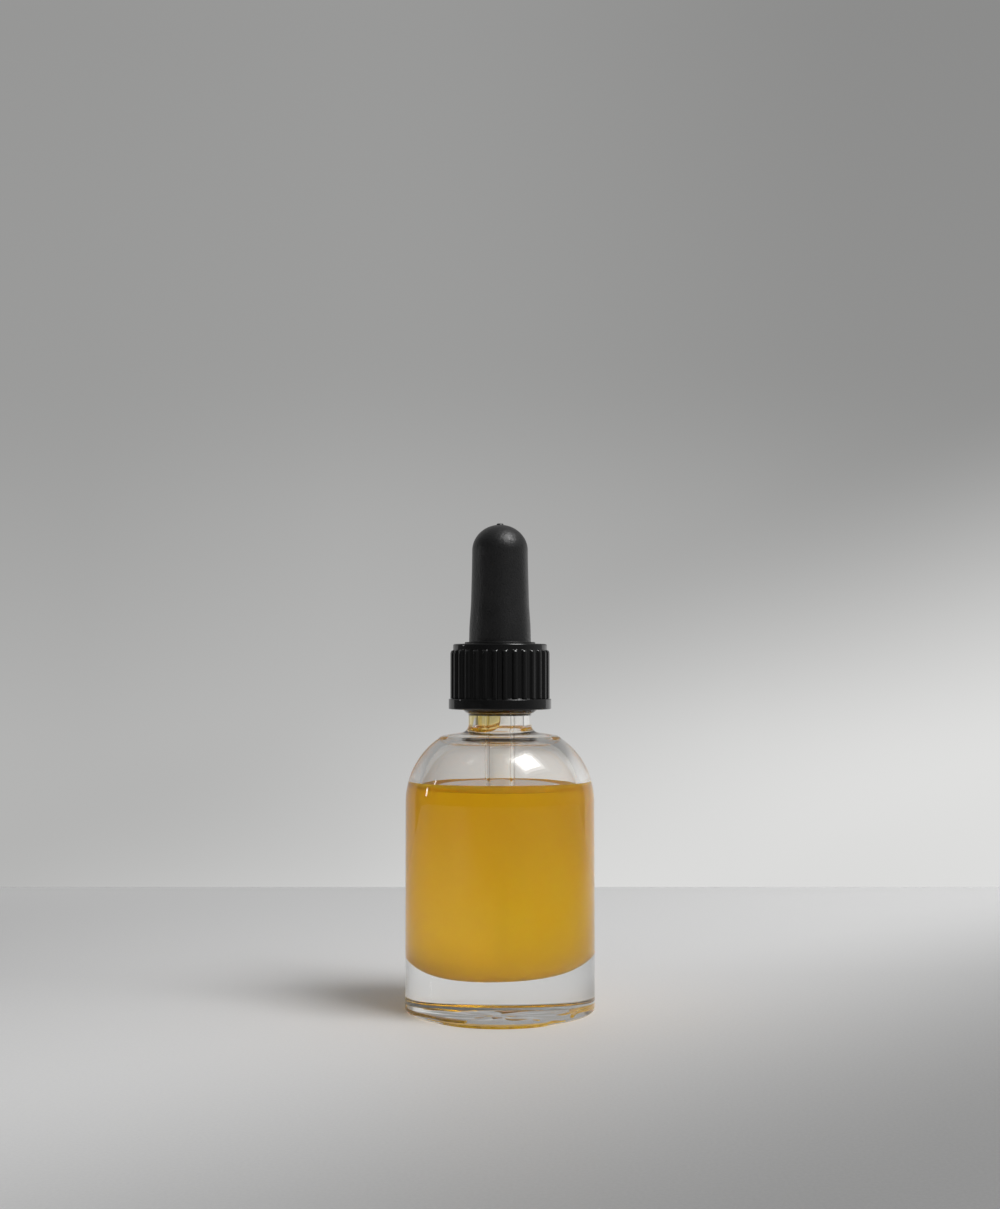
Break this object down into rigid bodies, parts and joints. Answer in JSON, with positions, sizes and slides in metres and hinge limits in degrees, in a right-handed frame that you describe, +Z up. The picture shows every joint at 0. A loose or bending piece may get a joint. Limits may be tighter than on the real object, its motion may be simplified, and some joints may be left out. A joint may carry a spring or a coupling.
{
  "type": "dropper bottle",
  "caption": "Small clear glass bottle with a heavy base, closed by a ribbed screw cap that carries a squeezable rubber bulb and a glass pipette.",
  "frame": {"origin": "on the bottle's axis, in the plane that the bottle stands on", "axes": "+Z up along the axis, -Y towards the viewer, +X to the viewer's right; the bottle is round, so X and Y only fix the start of the thread and the place of the ribs"},
  "size_m": [0.04, 0.04, 0.1027],
  "materials": {
    "bottle_glass": "clear polished flint glass",
    "cap_plastic": "glossy black moulded plastic",
    "washer_plastic": "satin natural plastic",
    "bulb_rubber": "matt black rubber with a fine grain",
    "pipette_glass": "clear polished glass tube"
  },
  "bodies": {
    "bottle": {"bottle": "bottle_glass"},
    "washer": {"seal_washer": "washer_plastic"},
    "dropper": {"pipette": "pipette_glass"},
    "cap": {"cap": "cap_plastic"},
    "bulb": {"bulb": "bulb_rubber"}
  },
  "joints": [
    {"name": "dropper_lift", "type": "slide", "parent": "bottle", "child": "washer", "axis": [0, 0, 1], "range_m": [0, 0.068]},
    {"name": "cap_rise", "type": "slide", "parent": "washer", "child": "dropper", "axis": [0, 0, 1], "range_m": [0, 0.00476]},
    {"name": "cap_turn", "type": "hinge", "parent": "dropper", "child": "cap", "pos_m": [0, 0, 0.07], "axis": [0, 0, 1], "range_deg": [0, 540]},
    {"name": "bulb_squeeze", "type": "slide", "parent": "dropper", "child": "bulb", "axis": [0, 0, -1], "range_m": [0, 0.003], "stiffness_N_per_m": 1600, "deforming": ["bulb"]}
  ],
  "couplings": [
    {"joint": "cap_turn", "follows": "cap_rise", "rad_per_m": 1979}
  ]
}
